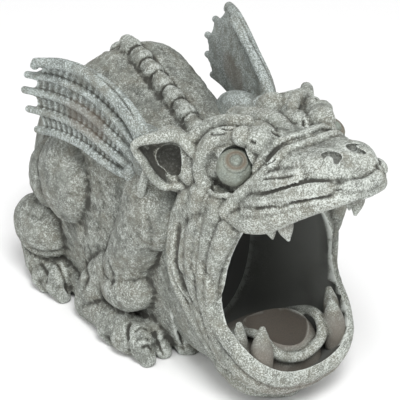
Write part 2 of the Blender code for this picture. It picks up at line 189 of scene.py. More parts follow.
BODY_LINES = (
    (2.6, 2.2, ((70.6, 23.6, 30), (77.8, 17.6, 25.8), (80.4, 12.5, 20.5))),
    (2.6, 2.2, ((58.8, 5.2, 27), (57.4, 1.5, 16.5), (56.4, -4.2, 4))),
    (2.6, 2.2, ((47, -10, 30), (44.2, -12, 26.6), (39.7, -9.8, 7.6))),
    (1.3, 1.5, ((76, 10, 30), (72.8, 9.9, 30), (67.8, 9.8, 31.1), (63.4, 4.5, 27.2))),
    (1.3, 1.5, ((78, 5, 22), (76, 4, 24.3), (71.3, 1.9, 25.6), (65.5, 0, 21.4))),
    (1.3, 1.5, ((75.6, 0.2, 17.2), (70.3, -0.9, 18.7), (65.3, -2.5, 13.7))),
    (2.0, 3.5, ((77, 43, 100), (79.6, 43, 84.8), (79.2, 36.4, 73), (80.7, 40.8, 56.8))),
    (1.8, 3.5, ((75, -12, 152), (73.6, -12.8, 136), (66, -4.2, 112.4))),
    (1.4, 6.0, ((68.5, 86.3, 142), (69.3, 86, 119), (69.5, 90, 98), (69, 98, 70))),
    (1.6, 3.2, ((81.5, 166, 41), (76.7, 148.5, 42.7), (67.2, 138.5, 45.3), (65.5, 119.5, 50))),
    (2.2, 2.2, ((78.1, 155.7, 27.3), (81, 139.6, 22.7), (83.8, 137.6, 14.3))),
    (2.2, 2.2, ((69.6, 144, 30), (72, 128.7, 28), (71.2, 124.2, 16.4), (70, 120, 6.6))),
    (0.8, 3.0, ((80, 175, 73), (81, 167.7, 72), (78.5, 155, 73), (72.2, 148.3, 76))),
    (3.0, 3.5, ((66.5, 100, 50), (79.4, 77, 53), (81.8, 80.6, 37))),
    (0.4, 2.2, ((11, -2, 174), (11, 20, 187), (11, 48, 203), (11, 70, 211), (11, 92, 221),
                (11, 118, 229))),
)


class GargoyleSettings(bpy.types.PropertyGroup):
    """Sizes and colours of the carving and its finish."""
    head_grain: bpy.props.FloatProperty(
        name="Head grain", description="Size of the smallest carving on the head",
        default=0.0012, min=0.0008, max=0.004, subtype="DISTANCE", unit="LENGTH")
    body_grain: bpy.props.FloatProperty(
        name="Body grain", description="Size of the smallest carving on the body",
        default=0.0016, min=0.0008, max=0.004, subtype="DISTANCE", unit="LENGTH")
    wing_grain: bpy.props.FloatProperty(
        name="Wing grain", description="Size of the smallest carving on the wings",
        default=0.0010, min=0.0008, max=0.004, subtype="DISTANCE", unit="LENGTH")
    stone: bpy.props.FloatVectorProperty(
        name="Stone", description="Middle colour of the stone", subtype="COLOR",
        default=(0.160, 0.170, 0.150), min=0, max=1)
    brushed: bpy.props.FloatVectorProperty(
        name="Brushed highlights", description="Pale colour worn onto the high places",
        subtype="COLOR", default=(0.66, 0.70, 0.66), min=0, max=1)
    # A dark wash with painted shade: this colour darkens the small and large hollows.
    recess: bpy.props.FloatVectorProperty(
        name="Recesses", description="Dark dirt that stays in the low places", subtype="COLOR",
        default=(0.028, 0.027, 0.022), min=0, max=1)
    throat: bpy.props.FloatVectorProperty(
        name="Throat", description="Dark smooth lining of the mouth and body", subtype="COLOR",
        default=(0.150, 0.156, 0.145), min=0, max=1)
    stain: bpy.props.FloatVectorProperty(
        name="Stains", description="Rusty brown of the eyes, the wings and the jaw's trough",
        subtype="COLOR", default=(0.12, 0.075, 0.045), min=0, max=1)
    floor: bpy.props.FloatVectorProperty(
        name="Floor", description="Colour of the plain floor", subtype="COLOR",
        default=(0.91, 0.91, 0.91), min=0, max=1)


def settings():
    return bpy.context.scene.gargoyle


def at(x, y, z):
    return Vector((x, y, z)) * MM


def smooth_line(rows, steps):
    """Points along a smooth line through the rows, blending any extra values the same way."""
    rows = np.array(rows, float)
    padded = np.vstack([2 * rows[0] - rows[1], rows, 2 * rows[-1] - rows[-2]])
    line = []
    for i in range(1, len(padded) - 2):
        a, b, c, d = padded[i - 1:i + 3]
        for t in np.arange(steps) / steps:
            line.append(0.5 * (2 * b + (c - a) * t + (2 * a - 5 * b + 4 * c - d) * t ** 2
                               + (3 * b - a - 3 * c + d) * t ** 3))
    line.append(rows[-1])
    return np.array(line)


def mirrored(rows, side):
    return [(side * row[0], *row[1:]) for row in rows]


class Clay:
    """A heap of overlapping closed shapes, to be pressed into one form."""

    def __init__(self):
        self.heap = bmesh.new()

    def add(self, shape):
        bmesh.ops.recalc_face_normals(shape, faces=shape.faces[:])
        data = bpy.data.meshes.new("shape")
        shape.to_mesh(data)
        shape.free()
        self.heap.from_mesh(data)
        bpy.data.meshes.remove(data)

    def ball(self, centre, radii, turn=(0, 0, 0), fineness=4):
        """An ellipsoid, turned by degrees about X, Y and Z."""
        spin = Euler([math.radians(v) for v in turn]).to_matrix().to_4x4()
        size = Matrix.Diagonal((*(r * MM for r in radii), 1))
        shape = bmesh.new()
        bmesh.ops.create_icosphere(shape, subdivisions=fineness, radius=1,
                                   matrix=Matrix.Translation(at(*centre)) @ spin @ size)
        self.add(shape)

    def roll(self, rows, steps=6, sides=20):
        """A round roll of clay through rows of x, y, z and radius, with round ends."""
        line = smooth_line(rows, steps)
        shape = bmesh.new()
        up = Vector((0.13, 0.21, 0.97))
        before = None
        for i, row in enumerate(line):
            ahead = line[min(i + 1, len(line) - 1)][:3] - line[max(i - 1, 0)][:3]
            along = Vector(ahead).normalized()
            across = along.cross(up).normalized()
            turn = Matrix((across, across.cross(along), -along)).transposed().to_4x4()
            ring = bmesh.ops.create_circle(shape, segments=sides, radius=row[3] * MM,
                                           cap_ends=i in (0, len(line) - 1),
                                           matrix=Matrix.Translation(at(*row[:3])) @ turn)
            before = bridge(shape, before, ring["verts"])
        self.add(shape)
        for row in (line[0], line[-1]):
            self.ball(row[:3], [row[3]] * 3, fineness=3)

    def loft(self, stations, squareness, sides=64, steps=3):
        """A body of upright rounded sections: rows of y, half width, bottom and top."""
        shape = bmesh.new()
        before = None
        line = smooth_line(stations, steps)
        for i, (y, half_width, bottom, top) in enumerate(line):
            ring = bmesh.ops.create_circle(shape, segments=sides, radius=1,
                                           cap_ends=i in (0, len(line) - 1))["verts"]
            for corner in ring:
                c, s = corner.co.x, corner.co.y
                reach = (abs(c) ** squareness + abs(s) ** squareness) ** (-1 / squareness)
                corner.co = at(half_width * c * reach, y,
                               (bottom + top) / 2 + (top - bottom) / 2 * s * reach)
            before = bridge(shape, before, ring)
        self.add(shape)

    def web(self, rows, thickness):
        """A curved plate through a grid of places, given as equal rows."""
        shape = bmesh.new()
        grid = [[shape.verts.new(at(*place)) for place in row] for row in rows]
        for row, after in zip(grid, grid[1:]):
            for j in range(len(row) - 1):
                shape.faces.new((row[j], row[j + 1], after[j + 1], after[j]))
        whole = shape.verts[:] + shape.edges[:] + shape.faces[:]
        shape.normal_update()
        bmesh.ops.solidify(shape, geom=whole, thickness=thickness * MM)
        self.add(shape)


def bridge(shape, before, ring):
    """Joins one ring's edges to those of the ring before it."""
    edges = list({edge for corner in ring for edge in corner.link_edges})
    if before:
        bmesh.ops.bridge_loops(shape, edges=before + edges)
    return edges


def object_from(name, shape):
    data = bpy.data.meshes.new(name)
    shape.to_mesh(data)
    shape.free()
    made = bpy.data.objects.new(name, data)
    bpy.context.scene.collection.objects.link(made)
    return made


def settled(item):
    """The same object with its modifiers made part of its mesh."""
    graph = bpy.context.evaluated_depsgraph_get()
    data = bpy.data.meshes.new_from_object(item.evaluated_get(graph))
    item.modifiers.clear()
    old = item.data
    item.data = data
    bpy.data.meshes.remove(old)
    return item


def pressed(name, clay, grain, softening):
    """One object of all the clay, with its shapes merged and their joins softened."""
    form = object_from(name, clay.heap)
    press = form.modifiers.new("press", "REMESH")
    press.mode = "VOXEL"
    press.voxel_size = grain
    soften = form.modifiers.new("soften", "SMOOTH")
    soften.factor = 0.5
    soften.iterations = softening
    return settled(form)


def places(data):
    flat = np.empty(len(data.vertices) * 3)
    data.vertices.foreach_get("co", flat)
    return flat.reshape(-1, 3)


def directions(data):
    flat = np.empty(len(data.vertices) * 3)
    data.vertices.foreach_get("normal", flat)
    return flat.reshape(-1, 3)


def skin_of(item):
    data = item.data
    return BVHTree.FromPolygons(places(data).tolist(), [p.vertices[:] for p in data.polygons])


def carve(item, lines):
    """Cuts each line into the surface, or raises it where its depth is below zero."""
    data = item.data
    here, facing = places(data), directions(data)
    skin = skin_of(item)
    move = np.zeros(len(here))
    for depth, width, rows in lines:
        fine = smooth_line(np.array(rows) * MM, 16)
        fine = np.array([skin.find_nearest(Vector(p))[0] for p in fine])
        reach = 3 * width * MM
        near = np.all((here > fine.min(0) - reach) & (here < fine.max(0) + reach), axis=1)
        index = np.nonzero(near)[0]
        if not len(index):
            continue
        gap = np.linalg.norm(here[index][:, None] - fine[None], axis=2)
        closest = gap.argmin(1)
        share = closest / (len(fine) - 1)
        taper = np.clip(np.minimum(share, 1 - share) * 6 + 0.15, 0, 1)
        bite = depth * MM * taper * np.exp(-(gap.min(1) / (width * MM)) ** 2)
        swap = np.abs(bite) > np.abs(move[index])
        move[index[swap]] = bite[swap]
    data.vertices.foreach_set("co", (here - facing * move[:, None]).ravel())
    data.update()


def both_sides(lines):
    return [(depth, width, mirrored(rows, side)) for depth, width, rows in lines
            for side in SIDES]


def head(clay):
    clay.loft(SKULL, SKULL_SQUARENESS)
    clay.ball((0, -66, 206), (48, 44, 32), (-14, 0, 0))
    clay.ball((0, -98, 224), (32, 22, 19))
    muzzle(clay)
    lower_jaw(clay)
    for side in SIDES:
        cheek(clay, side)
        brow(clay, side)
        ear(clay, side)


def cheek(clay, side):
    for fold in ([(50, -44, 178, 14), (54, -34, 144, 14), (54, -32, 112, 14), (52, -38, 90, 14),
                  (47, -54, 66, 14), (38, -70, 36, 14)],
                 [(49, -51, 182, 13.5), (53.5, -46, 150, 13.5), (54.5, -44, 118, 13.5)],
                 [(50, -69, 184, 12.5), (53.5, -67, 158, 13), (55, -64, 125, 13)],
                 [(52, -60, 186, 13), (54, -58, 160, 13.5), (55, -56, 130, 13.5),
                  (54, -60, 100, 13.5), (50, -70, 72, 14), (43, -84, 46, 14)],
                 [(50, -78, 184, 12.5), (53, -76, 160, 13.5), (55, -72, 128, 13),
                  (54, -73, 98, 13.5), (50, -86, 64, 14)]):
        clay.roll(mirrored(fold, side))


def brow(clay, side):
    """The lumps over the eye, the thick arch behind it and the fold down its inner side."""
    clay.ball((side * 31, -97, 241), (10.5, 12, 11))
    clay.ball((side * 38, -88, 243), (9, 9, 8))
    clay.ball((side * 29, -107, 236), (7, 7, 7))
    clay.ball((side * 38, -97, 229), (7, 7, 7))
    clay.ball((side * 17, -84, 237.5), (9, 15, 9))
    clay.roll(mirrored([(58, -44, 226, 5), (48, -52, 238, 6), (35, -60, 243, 6),
                        (22, -72, 244, 5)], side))
    clay.ball((side * 35, -68, 227), (17, 20, 15))
    clay.ball((side * 46, -56, 214), (10, 16, 20))
    clay.roll(mirrored([(33, -87, 239, 7), (41, -76, 239, 7.5), (48, -66, 234, 8),
                        (52.5, -58, 219, 8), (54, -57, 204, 7.6), (54, -65, 190, 6.5)], side))
    clay.roll(mirrored([(30, -117, 230, 5), (38, -115, 221, 6), (48, -101, 201, 6.5),
                        (54, -90, 184, 7)], side))
    clay.roll(mirrored([(55, -67, 193, 2.2), (57.5, -77, 195, 2.4), (57, -84, 196.5, 2.4),
                        (54, -91, 199, 2.2)], side))


def muzzle(clay):
    """The snout: a broad nose over three long folds, with straps of skin across its bridge."""
    clay.loft(SNOUT, SNOUT_SQUARENESS)
    clay.roll([(0, -30, 222, 11), (0, -55, 232, 10), (0, -80, 239, 8.5), (0, -99, 239, 5)])
    clay.roll([(22, -176, 233, 4), (12, -185, 234, 5), (0, -188, 234, 5), (-12, -185, 234, 5),
               (-22, -176, 233, 4)])
    for side in SIDES:
        clay.roll(mirrored([(49, -94, 181, 10), (47, -111, 183, 10.5), (43, -127, 190, 10),
                            (36, -148, 205, 8.5), (27, -167, 218, 8), (15, -180.5, 227, 8),
                            (0, -185.2, 229, 7.8)], side))
        clay.roll(mirrored([(44, -106, 196, 9.5), (41, -122, 204, 9.5), (37, -140, 214, 9),
                            (31, -161, 226, 8), (25, -173, 232, 6.5)], side))
        clay.roll(mirrored([(46, -110, 189, 9.5), (42, -126, 197, 9.3), (37, -145, 210.5, 8.6),
                            (29, -166, 222, 7.6)], side))
        clay.roll(mirrored([(40, -112, 212, 8.5), (36, -130, 222, 8.5), (30, -148, 232, 7.5)],
                           side))
        clay.roll(mirrored([(38, -106, 222, 4.5), (30, -107, 234, 5), (18, -111, 240.5, 5.5),
                            (0, -115, 242, 6)], side))
        clay.roll(mirrored([(34, -120, 231, 4.5), (24, -122, 238.5, 5), (10, -126, 241.5, 5.5),
                            (0, -128, 242, 5.5)], side))
        clay.ball((side * 17, -155, 238), (13, 17, 10.5))


def lower_jaw(clay):
    for side in SIDES:
        clay.roll(mirrored(JAW_RIM, side))
        clay.roll(mirrored([(50, -84, 62, 14), (42, -105, 46, 15), (27, -117, 35, 14.5),
                            (0, -119, 31, 14.5)], side))
        clay.roll(mirrored([(38, -76, 34, 15), (27, -89, 20, 16), (0, -97, 14, 18)], side))
    clay.ball((0, -78, 16), (36, 34, 22))


def ear(clay, side):
    """A pointed cup of skin, thick at its back, with a second fold hanging below it."""
    clay.roll(mirrored(EAR_RIM, side))
    rim = smooth_line(EAR_RIM, 3)[:, :3] * (side, 1, 1)
    deep = np.array(EAR_DEEP) * (side, 1, 1)
    sunk = np.array((-3 * side, 2, -1))
    clay.web([rim, rim * 0.5 + deep * 0.5 + sunk, rim * 0.15 + deep * 0.85], 5)
    clay.ball((side * 51, -14, 202), (15, 22, 22))
    clay.ball((side * 60, -27, 187), (9, 14, 10))
    clay.ball((side * 58, -23, 207), (11, 20, 17), (0, 0, side * EAR_BOWL[2]))
    clay.ball((side * 53, -42, 204), (12, 15, 20))
    clay.roll(mirrored([(54, -8, 208, 11), (66, -7, 210, 8), (78, -8, 213, 5), (84, -9, 216, 3)],
                       side))
    clay.roll(mirrored([(80, -18, 196, 3), (80, -13, 182, 3.5), (76, -4, 168, 3.5)], side))


def spine(clay):
    """A row of blunt knuckles down the middle of the back."""
    y = FIRST_KNUCKLE
    while y < SPINE_LINE[-1][0]:
        z = np.interp(y, *zip(*SPINE_LINE)) - KNUCKLE[2]
        clay.roll([(0, y - 4.5, z - 2, 7.9), (0, y + 4.5, z + 2, 7.9)], steps=1)
        clay.ball((0, y, z), KNUCKLE, (-25, 0, 0))
        y += KNUCKLE_GAP


def spine_lines():
    """The dark lines between the knuckles."""
    for y in np.arange(FIRST_KNUCKLE + KNUCKLE_GAP / 2, SPINE_LINE[-1][0], KNUCKLE_GAP):
        z = np.interp(y, *zip(*SPINE_LINE))
        yield (1.4, 1.1, [(x, y, z - drop) for x, drop in
                          ((-9, 9), (-6, 4), (0, 2), (6, 4), (9, 9))])


def wing(clay, side):
    """A webbed wing: fingers that fan back from the shoulder, and a scalloped skin."""
    outward = np.array((0.8 * side, 0, 0))
    for share in WING_FINGERS:
        line = wing_line(side, share) + outward
        line = np.vstack([line, line[-1] + (0, 1.5, -3)])
        line = line[:-1] if share else line
        root, tip = (3.9, 3.2) if share else (7, 4)
        clay.roll(np.column_stack([line, np.linspace(root, tip, len(line))]), steps=1)
    shares = np.linspace(0, WING_FINGERS[-1], 25)
    for inward in (0, 3):
        shift = np.array((-inward * side, 0, 0))
        clay.web([wing_line(side, share, scallop(share)) + shift for share in shares], 4)
    clay.roll(mirrored(WING_BAND, side))
    clay.ball((side * 66, 20, 173), (9, 9, 9))
    clay.ball((side * 67, 16, 160), (7, 8, 8))
    clay.ball((side * 56, 8, 188), (16, 16, 24))
    clay.ball((side * 50, 26, 186), (18, 34, 22))


def scallop(share):
    """How far along the wing its skin reaches at this share: least between two fingers."""
    for low, high in zip(WING_FINGERS, WING_FINGERS[1:]):
        if share <= high:
            return SKIN_REACH - SCALLOP * math.sin(math.pi * (share - low) / (high - low))
    return SKIN_REACH


def wing_line(side, share, end=1.0):
    """A line along the wing, this share of the way from its leading arm to its hem."""
    arm, hem = smooth_line(WING_ARM, 6), smooth_line(WING_HEM, 6)
    line = arm + (hem - arm) * share
    along = np.linspace(0, 1, len(line))
    line[:, 1] += WING_SPREAD * math.sin(math.pi * share) * along ** 2
    wanted = along * end
    line = np.column_stack([np.interp(wanted, along, line[:, axis]) for axis in range(3)])
    return line * np.array((side, 1, 1))


def wing_bars():
    """The short raised bars that cross the skin between the fingers."""
    for low, high in zip(WING_FINGERS, WING_FINGERS[1:]):
        for along in np.arange(0.28, 0.95, 0.042):
            rows = [wing_line(1, low + (high - low) * share, along)[-1] + (3, 0, 0)
                    for share in (0.22, 0.5, 0.78)]
            yield (-0.9, 1.7, rows)
    yield (1.2, 1.3, [np.add(arm[:3], band[:3]) / 2 + (2, 0, 5)
                      for arm, band in zip(WING_ARM[1:], WING_BAND[1:])])


def front_leg(clay, side):
    clay.ball((side * 54, 6, 146), (26, 32, 42), (8, 0, 0))
    clay.roll(mirrored([(56, 10, 140, 25), (57, 24, 108, 25), (57, 42, 74, 23)], side))
    clay.ball((side * 60, 40, 54), (21, 34, 22), (-20, 0, 0))
    clay.roll(mirrored([(60, 60, 62, 18), (63, 78, 40, 19), (62, 90, 14, 19)], side))
    clay.roll(mirrored([(64, 86, 14, 17), (67, 60, 17, 16), (67, 36, 18, 16)], side))
    toes(clay, side, (64, 26), ((78, 40, 8.5), (70, -3, 11), (52, -1, 10.5), (35, -7, 9.5)))


def toes(clay, side, root, tips):
    """A paw with hooked toes: each tip is x, y and thickness."""
    clay.ball((side * root[0], root[1], 14), (22, 22, 17))
    for x, y, thick in tips:
        near = (0.35 * root[0] + 0.65 * x, 0.55 * root[1] + 0.45 * y)
        clay.roll(mirrored([(root[0], root[1], 16, thick), (near[0], near[1], 20, thick + 1),
                            (x, y + thick, 13, thick), (x, y + 2, 6, thick * 0.7)], side))


def hind_leg(clay, side):
    clay.ball((side * 62, 122, 124), (25, 37, 44), (6, 0, 0))
    clay.ball((side * 57, 156, 112), (24, 25, 36), (6, 0, 0))
    clay.ball((side * 63, 169, 55), (25, 36, 30), (-8, 0, 0))
    clay.roll(mirrored([(62, 178, 32, 19), (66, 162, 16, 18), (66, 140, 14, 14)], side))
    toes(clay, side, (62, 146), ((78, 146, 9), (74, 124, 10.5), (57, 118, 9.5)))


def cutter(tool):
    tool.hide_render = True
    tool.display_type = "WIRE"
    return tool


def hollow(spare=0):
    """The way for the water, from the back wall through the body to the lips."""
    back = REAR - SOCKET[2]
    body = [(y, half_width - WALL, FLOOR_WALL, top - WALL) for y, half_width, bottom, top in TRUNK
            if 5 < y < back - 8]
    last = body[-1]
    body.append((back, last[1] - 6, FLOOR_WALL, last[3] - 14))
    body = [(y, half_width + spare, low - spare, high + spare) if y < 20 else
            (y, half_width, low, high) for y, half_width, low, high in list(GULLET) + body]
    clay = Clay()
    clay.loft(body, GULLET_SQUARENESS, steps=2)
    return cutter(object_from("hollow", clay.heap))


def block(name, centre, size):
    shape = bmesh.new()
    bmesh.ops.create_cube(shape, size=MM,
                          matrix=Matrix.Translation(at(*centre)) @ Matrix.Diagonal((*size, 1)))
    return cutter(object_from(name, shape))


def socket():
    """The upright hole in the back wall for the end of a rectangular pipe."""
    width, height, depth = SOCKET
    hole = block("socket", (0, REAR, SOCKET_SILL + height / 2), (width, 2 * depth + WALL, height))
    round_off = hole.modifiers.new("corners", "BEVEL")
    round_off.width = SOCKET_CORNER * MM
    round_off.segments = 4
    round_off.limit_method = "NONE"
    return hole


def cut(item, tools):
    """Takes each tool out of the piece."""
    for tool in tools:
        step = item.modifiers.new(tool.name, "BOOLEAN")
        step.solver = "MANIFOLD"
        step.operation = "DIFFERENCE"
        step.object = tool
    settled(item)
    for tool in tools:
        bpy.data.objects.remove(tool)


def eye_sockets():
    """Room for the eyeballs and for the sight of them between the lids."""
    clay = Clay()
    for side in SIDES:
        centre = Vector((side * EYE_CENTRE[0], *EYE_CENTRE[1:]))
        gaze = Vector((side * EYE_GAZE[0], *EYE_GAZE[1:])).normalized()
        clay.ball(centre, [EYE_RADIUS + 0.4] * 3)
        clay.ball(centre + gaze * 6, [EYE_RADIUS + 0.3] * 3)
    return cutter(pressed("eye_sockets", clay, 0.001, 1))


def openings():
    """The deep bowls of the ears and the crescents of the nostrils."""
    clay = Clay()
    place, radii, turn = EAR_BOWL
    for side in SIDES:
        clay.ball((side * place[0], *place[1:]), radii, (0, 0, side * turn))
        clay.roll(mirrored(NOSTRIL, side))
    return cutter(pressed("openings", clay, 0.0008, 1))


def scoop():
    """The hollow along the tongue."""
    clay = Clay()
    clay.ball(*TONGUE_SCOOP)
    return cutter(object_from("scoop", clay.heap))


def ground():
    return block("ground", (0, 0, CLEARANCE - SLAB / 2), (SLAB,) * 3)


def rear():
    return block("rear", (0, REAR - CLEARANCE + SLAB / 2, 0), (SLAB,) * 3)


def thinned(item, most=190000):
    """The same object with its faces made fewer where it has too many."""
    data = item.data
    data.calc_loop_triangles()
    count = len(data.loop_triangles)
    if count > most:
        fewer = item.modifiers.new("fewer", "DECIMATE")
        fewer.ratio = most / count
        settled(item)
    return item


def grit(item, strength, size):
    """A fine unevenness of the cast surface."""
    pattern = bpy.data.textures.new("grit", "CLOUDS")
    pattern.noise_scale = size * MM
    pattern.noise_depth = 2
    roughen = item.modifiers.new("grit", "DISPLACE")
    roughen.texture = pattern
    roughen.texture_coords = "LOCAL"
    roughen.strength = strength * MM
    roughen.mid_level = 0.5
    settled(item)


def relief(item, passes):
    """How far each vertex lies below the softened surface, in mm: high in hollows."""
    soften = item.modifiers.new("soften", "SMOOTH")
    soften.factor = 0.5
    soften.iterations = passes
    graph = bpy.context.evaluated_depsgraph_get()
    soft = places(item.evaluated_get(graph).data)
    item.modifiers.clear()
    return np.sum((soft - places(item.data)) * directions(item.data), axis=1) / MM


def record(item, name, values):
    layer = item.data.attributes.new(name, "FLOAT", "POINT")
    layer.data.foreach_set("value", values)


def trough_stain(item):
    """How brown each vertex is for its nearness to the jaw's trough."""
    gap = gap_from(item, [mirrored(TROUGH, side) for side in SIDES])
    return np.clip(1 - gap / TROUGH_REACH, 0, TROUGH_STAIN)


def record_relief(item, depth=None, stain=None, dirt_and_painted_shade=0):
    """Keeps for the stone its small and large hollows, with extra painted shade added to the large
    ones (painted light where it is below zero), how deep inside it lies, and its stains.
    """
    record(item, "fine_hollow", relief(item, 6) / 0.35)
    # The large hollows carry painted shade; the last argument adds more painted shade to them, and
    # painted light where it is below zero.
    record(item, "broad_hollow", relief(item, 60) / 2.0 + dirt_and_painted_shade)
    none = np.zeros(len(item.data.vertices))
    record(item, "inside", none if depth is None else np.clip((depth - 1.5) / 9, 0, 1))
    record(item, "stain", none if stain is None else stain)


def depth_below(item, skin):
    """How far in mm each vertex lies from the outer skin."""
    return np.array([skin.find_nearest(Vector(p))[3] for p in places(item.data)]) / MM


def gap_from(item, lines):
    """How far in mm each vertex lies from the nearest of some lines."""
    here = places(item.data) / MM
    points = np.vstack([smooth_line(line, 4)[:, :3] for line in lines])
    return np.array([np.linalg.norm(points - p, axis=1).min() for p in here])


def stone(name, tint=(1, 1, 1), speckle=1.0):
    """Cast stone: dark in its hollows from a dark wash and painted shade, mottled, and brushed
    pale on its high grains.
    """
    choice = settings()
    material = bpy.data.materials.new(name)
    material.use_nodes = True
    tree = material.node_tree
    nodes, links = tree.nodes, tree.links
    shader = nodes["Principled BSDF"]
    shader.inputs["Metallic"].default_value = 0
    where = nodes.new("ShaderNodeTexCoord").outputs["Object"]

    def noise(scale, detail, roughness=0.6):
        node = nodes.new("ShaderNodeTexNoise")
        node.inputs["Scale"].default_value = scale
        node.inputs["Detail"].default_value = detail
        node.inputs["Roughness"].default_value = roughness
        links.new(where, node.inputs["Vector"])
        return node.outputs["Fac"]

    def spread(value, low, high, start=0.0, end=1.0):
        node = nodes.new("ShaderNodeMapRange")
        node.interpolation_type = "SMOOTHSTEP"
        for socket, number in zip(node.inputs[1:5], (low, high, start, end)):
            socket.default_value = number
        links.new(value, node.inputs["Value"])
        return node.outputs["Result"]

    def kept(layer):
        node = nodes.new("ShaderNodeAttribute")
        node.attribute_name = layer
        return node.outputs["Fac"]

    def sums(operation, a, b):
        node = nodes.new("ShaderNodeMath")
        node.operation = operation
        for socket, value in zip(node.inputs, (a, b)):
            if isinstance(value, (int, float)):
                socket.default_value = value
            else:
                links.new(value, socket)
        return node.outputs["Value"]

    def blend(share, low, high):
        node = nodes.new("ShaderNodeMix")
        node.data_type = "RGBA"
        links.new(share, node.inputs["Factor"])
        for socket, value in zip((node.inputs[6], node.inputs[7]), (low, high)):
            if isinstance(value, tuple):
                socket.default_value = (*value, 1)
            else:
                links.new(value, socket)
        return node.outputs[2]

    middle = tuple(c * t for c, t in zip(choice.stone, tint))
    pale = tuple(c * t for c, t in zip(choice.brushed, tint))
    grains = noise(850, 3, 0.75)
    specks = noise(1500, 2, 0.7)
    fine, broad, inside = kept("fine_hollow"), kept("broad_hollow"), kept("inside")
    warm = (middle[0] * 1.06, middle[1] * 0.98, middle[2] * 0.90)
    base = blend(spread(noise(34, 3), 0.38, 0.62), warm, tuple(c * 0.86 for c in middle))
    base = blend(spread(noise(120, 4, 0.65), 0.35, 0.7), base, tuple(c * 1.5 for c in middle))
    worn = sums("ADD", sums("MULTIPLY", fine, 0.75), sums("MULTIPLY", broad, 0.16))
    along = nodes.new("ShaderNodeSeparateXYZ")
    links.new(where, along.inputs["Vector"])
    front = spread(along.outputs["Y"], -0.10, -0.15, 0.0, 0.24)
    high = sums("SUBTRACT", sums("ADD", spread(grains, 0.44, 0.62), front), worn)
    high = sums("MULTIPLY", high, spread(noise(60, 2), 0.3, 0.6, 0.6, 1.0))
    base = blend(spread(high, 0.20, 1.35, 0.0, 0.80 * speckle), base, pale)
    # The recess colour, a dark wash with painted shade, goes into the small and large hollows and
    # the dark specks.
    low = sums("ADD", sums("MULTIPLY", fine, 0.85), sums("MULTIPLY", broad, 0.7))
    low = sums("ADD", low, spread(specks, 0.54, 0.34, 0.0, 0.75 * speckle))
    base = blend(spread(low, 0.10, 1.05, 0.0, 0.92), base, tuple(choice.recess))
    base = blend(sums("MULTIPLY", kept("stain"), spread(grains, 0.3, 0.6, 0.5, 1.0)), base,
                 tuple(choice.stain))
    base = blend(inside, base, tuple(choice.throat))
    links.new(base, shader.inputs["Base Color"])
    rough = sums("SUBTRACT", spread(grains, 0.3, 0.7, 0.94, 0.76), sums("MULTIPLY", inside, 0.32))
    links.new(rough, shader.inputs["Roughness"])
    bump = nodes.new("ShaderNodeBump")
    bump.inputs["Strength"].default_value = 0.6
    bump.inputs["Distance"].default_value = 0.0006
    surface = sums("ADD", grains, sums("MULTIPLY", specks, 0.5))
    links.new(sums("MULTIPLY", surface, sums("SUBTRACT", 1.0, sums("MULTIPLY", inside, 0.85))),
              bump.inputs["Height"])
    links.new(bump.outputs["Normal"], shader.inputs["Normal"])
    return material


def finish_piece(piece, material):
    piece.data.materials.clear()
    piece.data.materials.append(material)
    piece.data.shade_smooth()
    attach(piece, "root")
    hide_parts(NODE)


class GARGOYLE_OT_head(bpy.types.Operator):
    """Models the head with its muzzle, open jaws, jowls and ears"""
    bl_idname = "gargoyle.head"
    bl_label = "Head"

    def execute(self, context):
        clay = Clay()
        head(clay)
        piece = pressed("head", clay, settings().head_grain, 2)
        carve(piece, both_sides(HEAD_LINES))
        grit(piece, 0.9, 11)
        skin = skin_of(piece)
        cut(piece, (hollow(), ground(), eye_sockets(), openings()))
        grit(thinned(piece), 0.6, 2.4)
        # Painted shade in the ear bowls: they keep no lining colour, and their large hollows are
        # made darker towards the bowls' middle lines.
        bowl = gap_from(piece, [mirrored(EAR_MIDDLE, side) for side in SIDES])
        depth = np.where(bowl < EAR_REACH, 0, depth_below(piece, skin))
        record_relief(piece, depth, trough_stain(piece),
                      np.clip(2 * (1 - bowl / EAR_REACH), 0, 0.75))
        finish_piece(piece, stone("head_stone"))
        return {"FINISHED"}


class GARGOYLE_OT_body(bpy.types.Operator):
    """Models the hollow body with its spine and legs"""
    bl_idname = "gargoyle.body"
    bl_label = "Body and legs"

    def execute(self, context):
        clay = Clay()
        clay.loft(TRUNK, TRUNK_SQUARENESS)
        spine(clay)
        for side in SIDES:
            front_leg(clay, side)
            hind_leg(clay, side)
        piece = pressed("body", clay, settings().body_grain, 2)
        carve(piece, both_sides(BODY_LINES) + list(spine_lines()))
        grit(piece, 2.6, 13)
        skin = skin_of(piece)
        cut(piece, (hollow(1.5), socket(), ground(), rear()))
        grit(thinned(piece), 0.6, 3)
        flat_back = places(piece.data)[:, 1] > (REAR - BACK_RIM) * MM
        record_relief(piece, np.where(flat_back, 0, depth_below(piece, skin)))
        finish_piece(piece, stone("body_stone", (0.88, 0.88, 0.88)))
        return {"FINISHED"}


class GARGOYLE_OT_wings(bpy.types.Operator):
    """Models the two webbed wings"""
    bl_idname = "gargoyle.wings"
    bl_label = "Wings"

    def execute(self, context):
        material = stone("wing_stone", (0.96, 1.0, 1.05), 0.9)
        for side, name in zip(SIDES, ("wing_right", "wing_left")):
            clay = Clay()
            wing(clay, side)
            piece = pressed(name, clay, settings().wing_grain, 2)
            carve(piece, [(depth, width, mirrored(rows, side))
                          for depth, width, rows in wing_bars()])
            cut(piece, (hollow(3),))
            grit(piece, 0.4, 2.0)
            rust = gap_from(piece, [[wing_line(side, 0.55, end)[-1] for end in (0.48, 0.62)]])
            # Painted light: the wings' inner faces are made paler by taking from their large
            # hollows.
            inner = directions(piece.data)[:, 0] * side < 0
            record_relief(piece, stain=np.clip(1 - rust / 16, 0, 0.4),
                          dirt_and_painted_shade=np.where(inner, -0.7, 0))
            finish_piece(piece, material)
        return {"FINISHED"}


